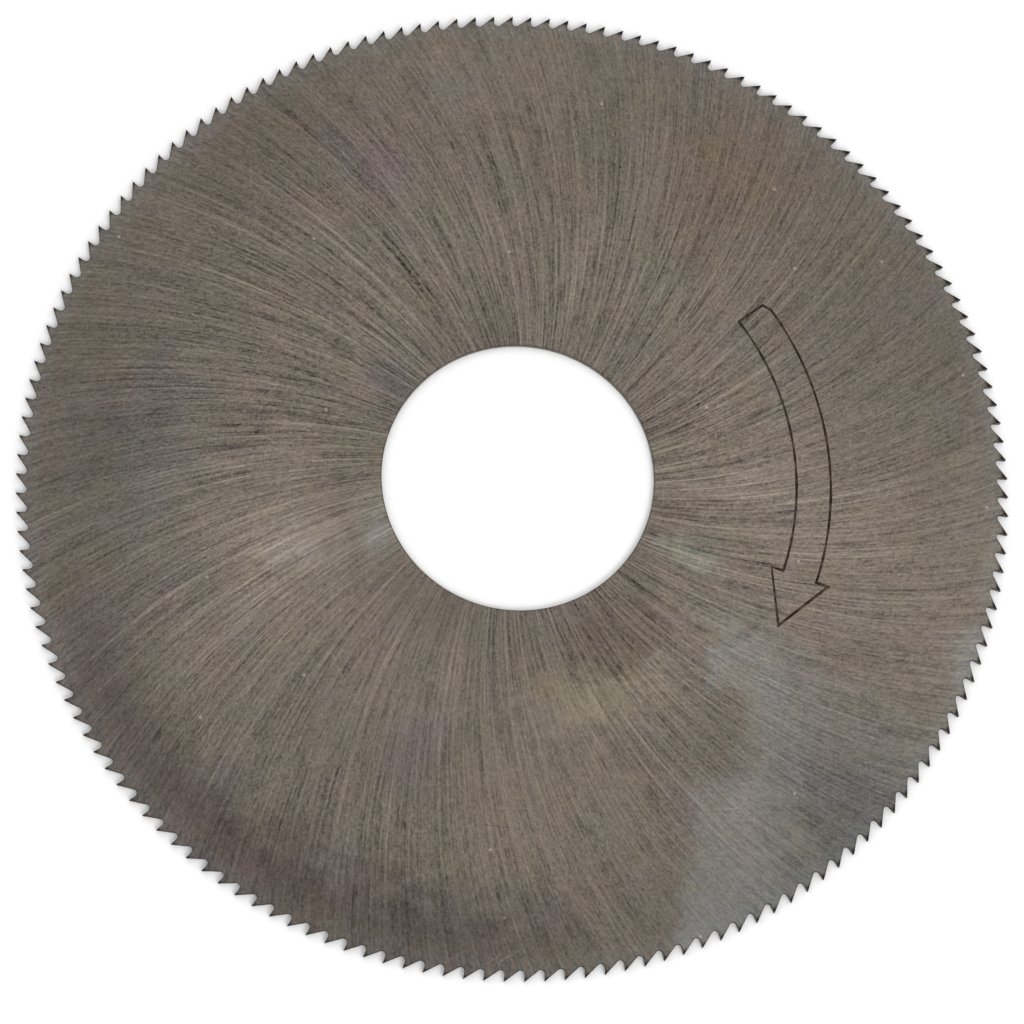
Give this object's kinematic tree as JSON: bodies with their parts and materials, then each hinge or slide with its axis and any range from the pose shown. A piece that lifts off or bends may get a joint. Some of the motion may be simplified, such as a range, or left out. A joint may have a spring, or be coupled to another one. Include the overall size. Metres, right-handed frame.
{
  "type": "slitting saw",
  "caption": "Thin hollow-ground steel disc with fine teeth round its rim, an arbor bore and an engraved direction arrow, for cutting narrow slots on a milling machine.",
  "frame": {"origin": "on the bore's axis, at the lower face that the saw rests on", "axes": "+Z along the bore's axis towards the face with the arrow; the arrow runs clockwise across +X seen from above"},
  "size_m": [0.08, 0.08, 0.0005],
  "materials": {
    "ground_steel": "surface ground"
  },
  "bodies": {
    "root": {"saw_blade": "ground_steel"}
  },
  "joints": []
}
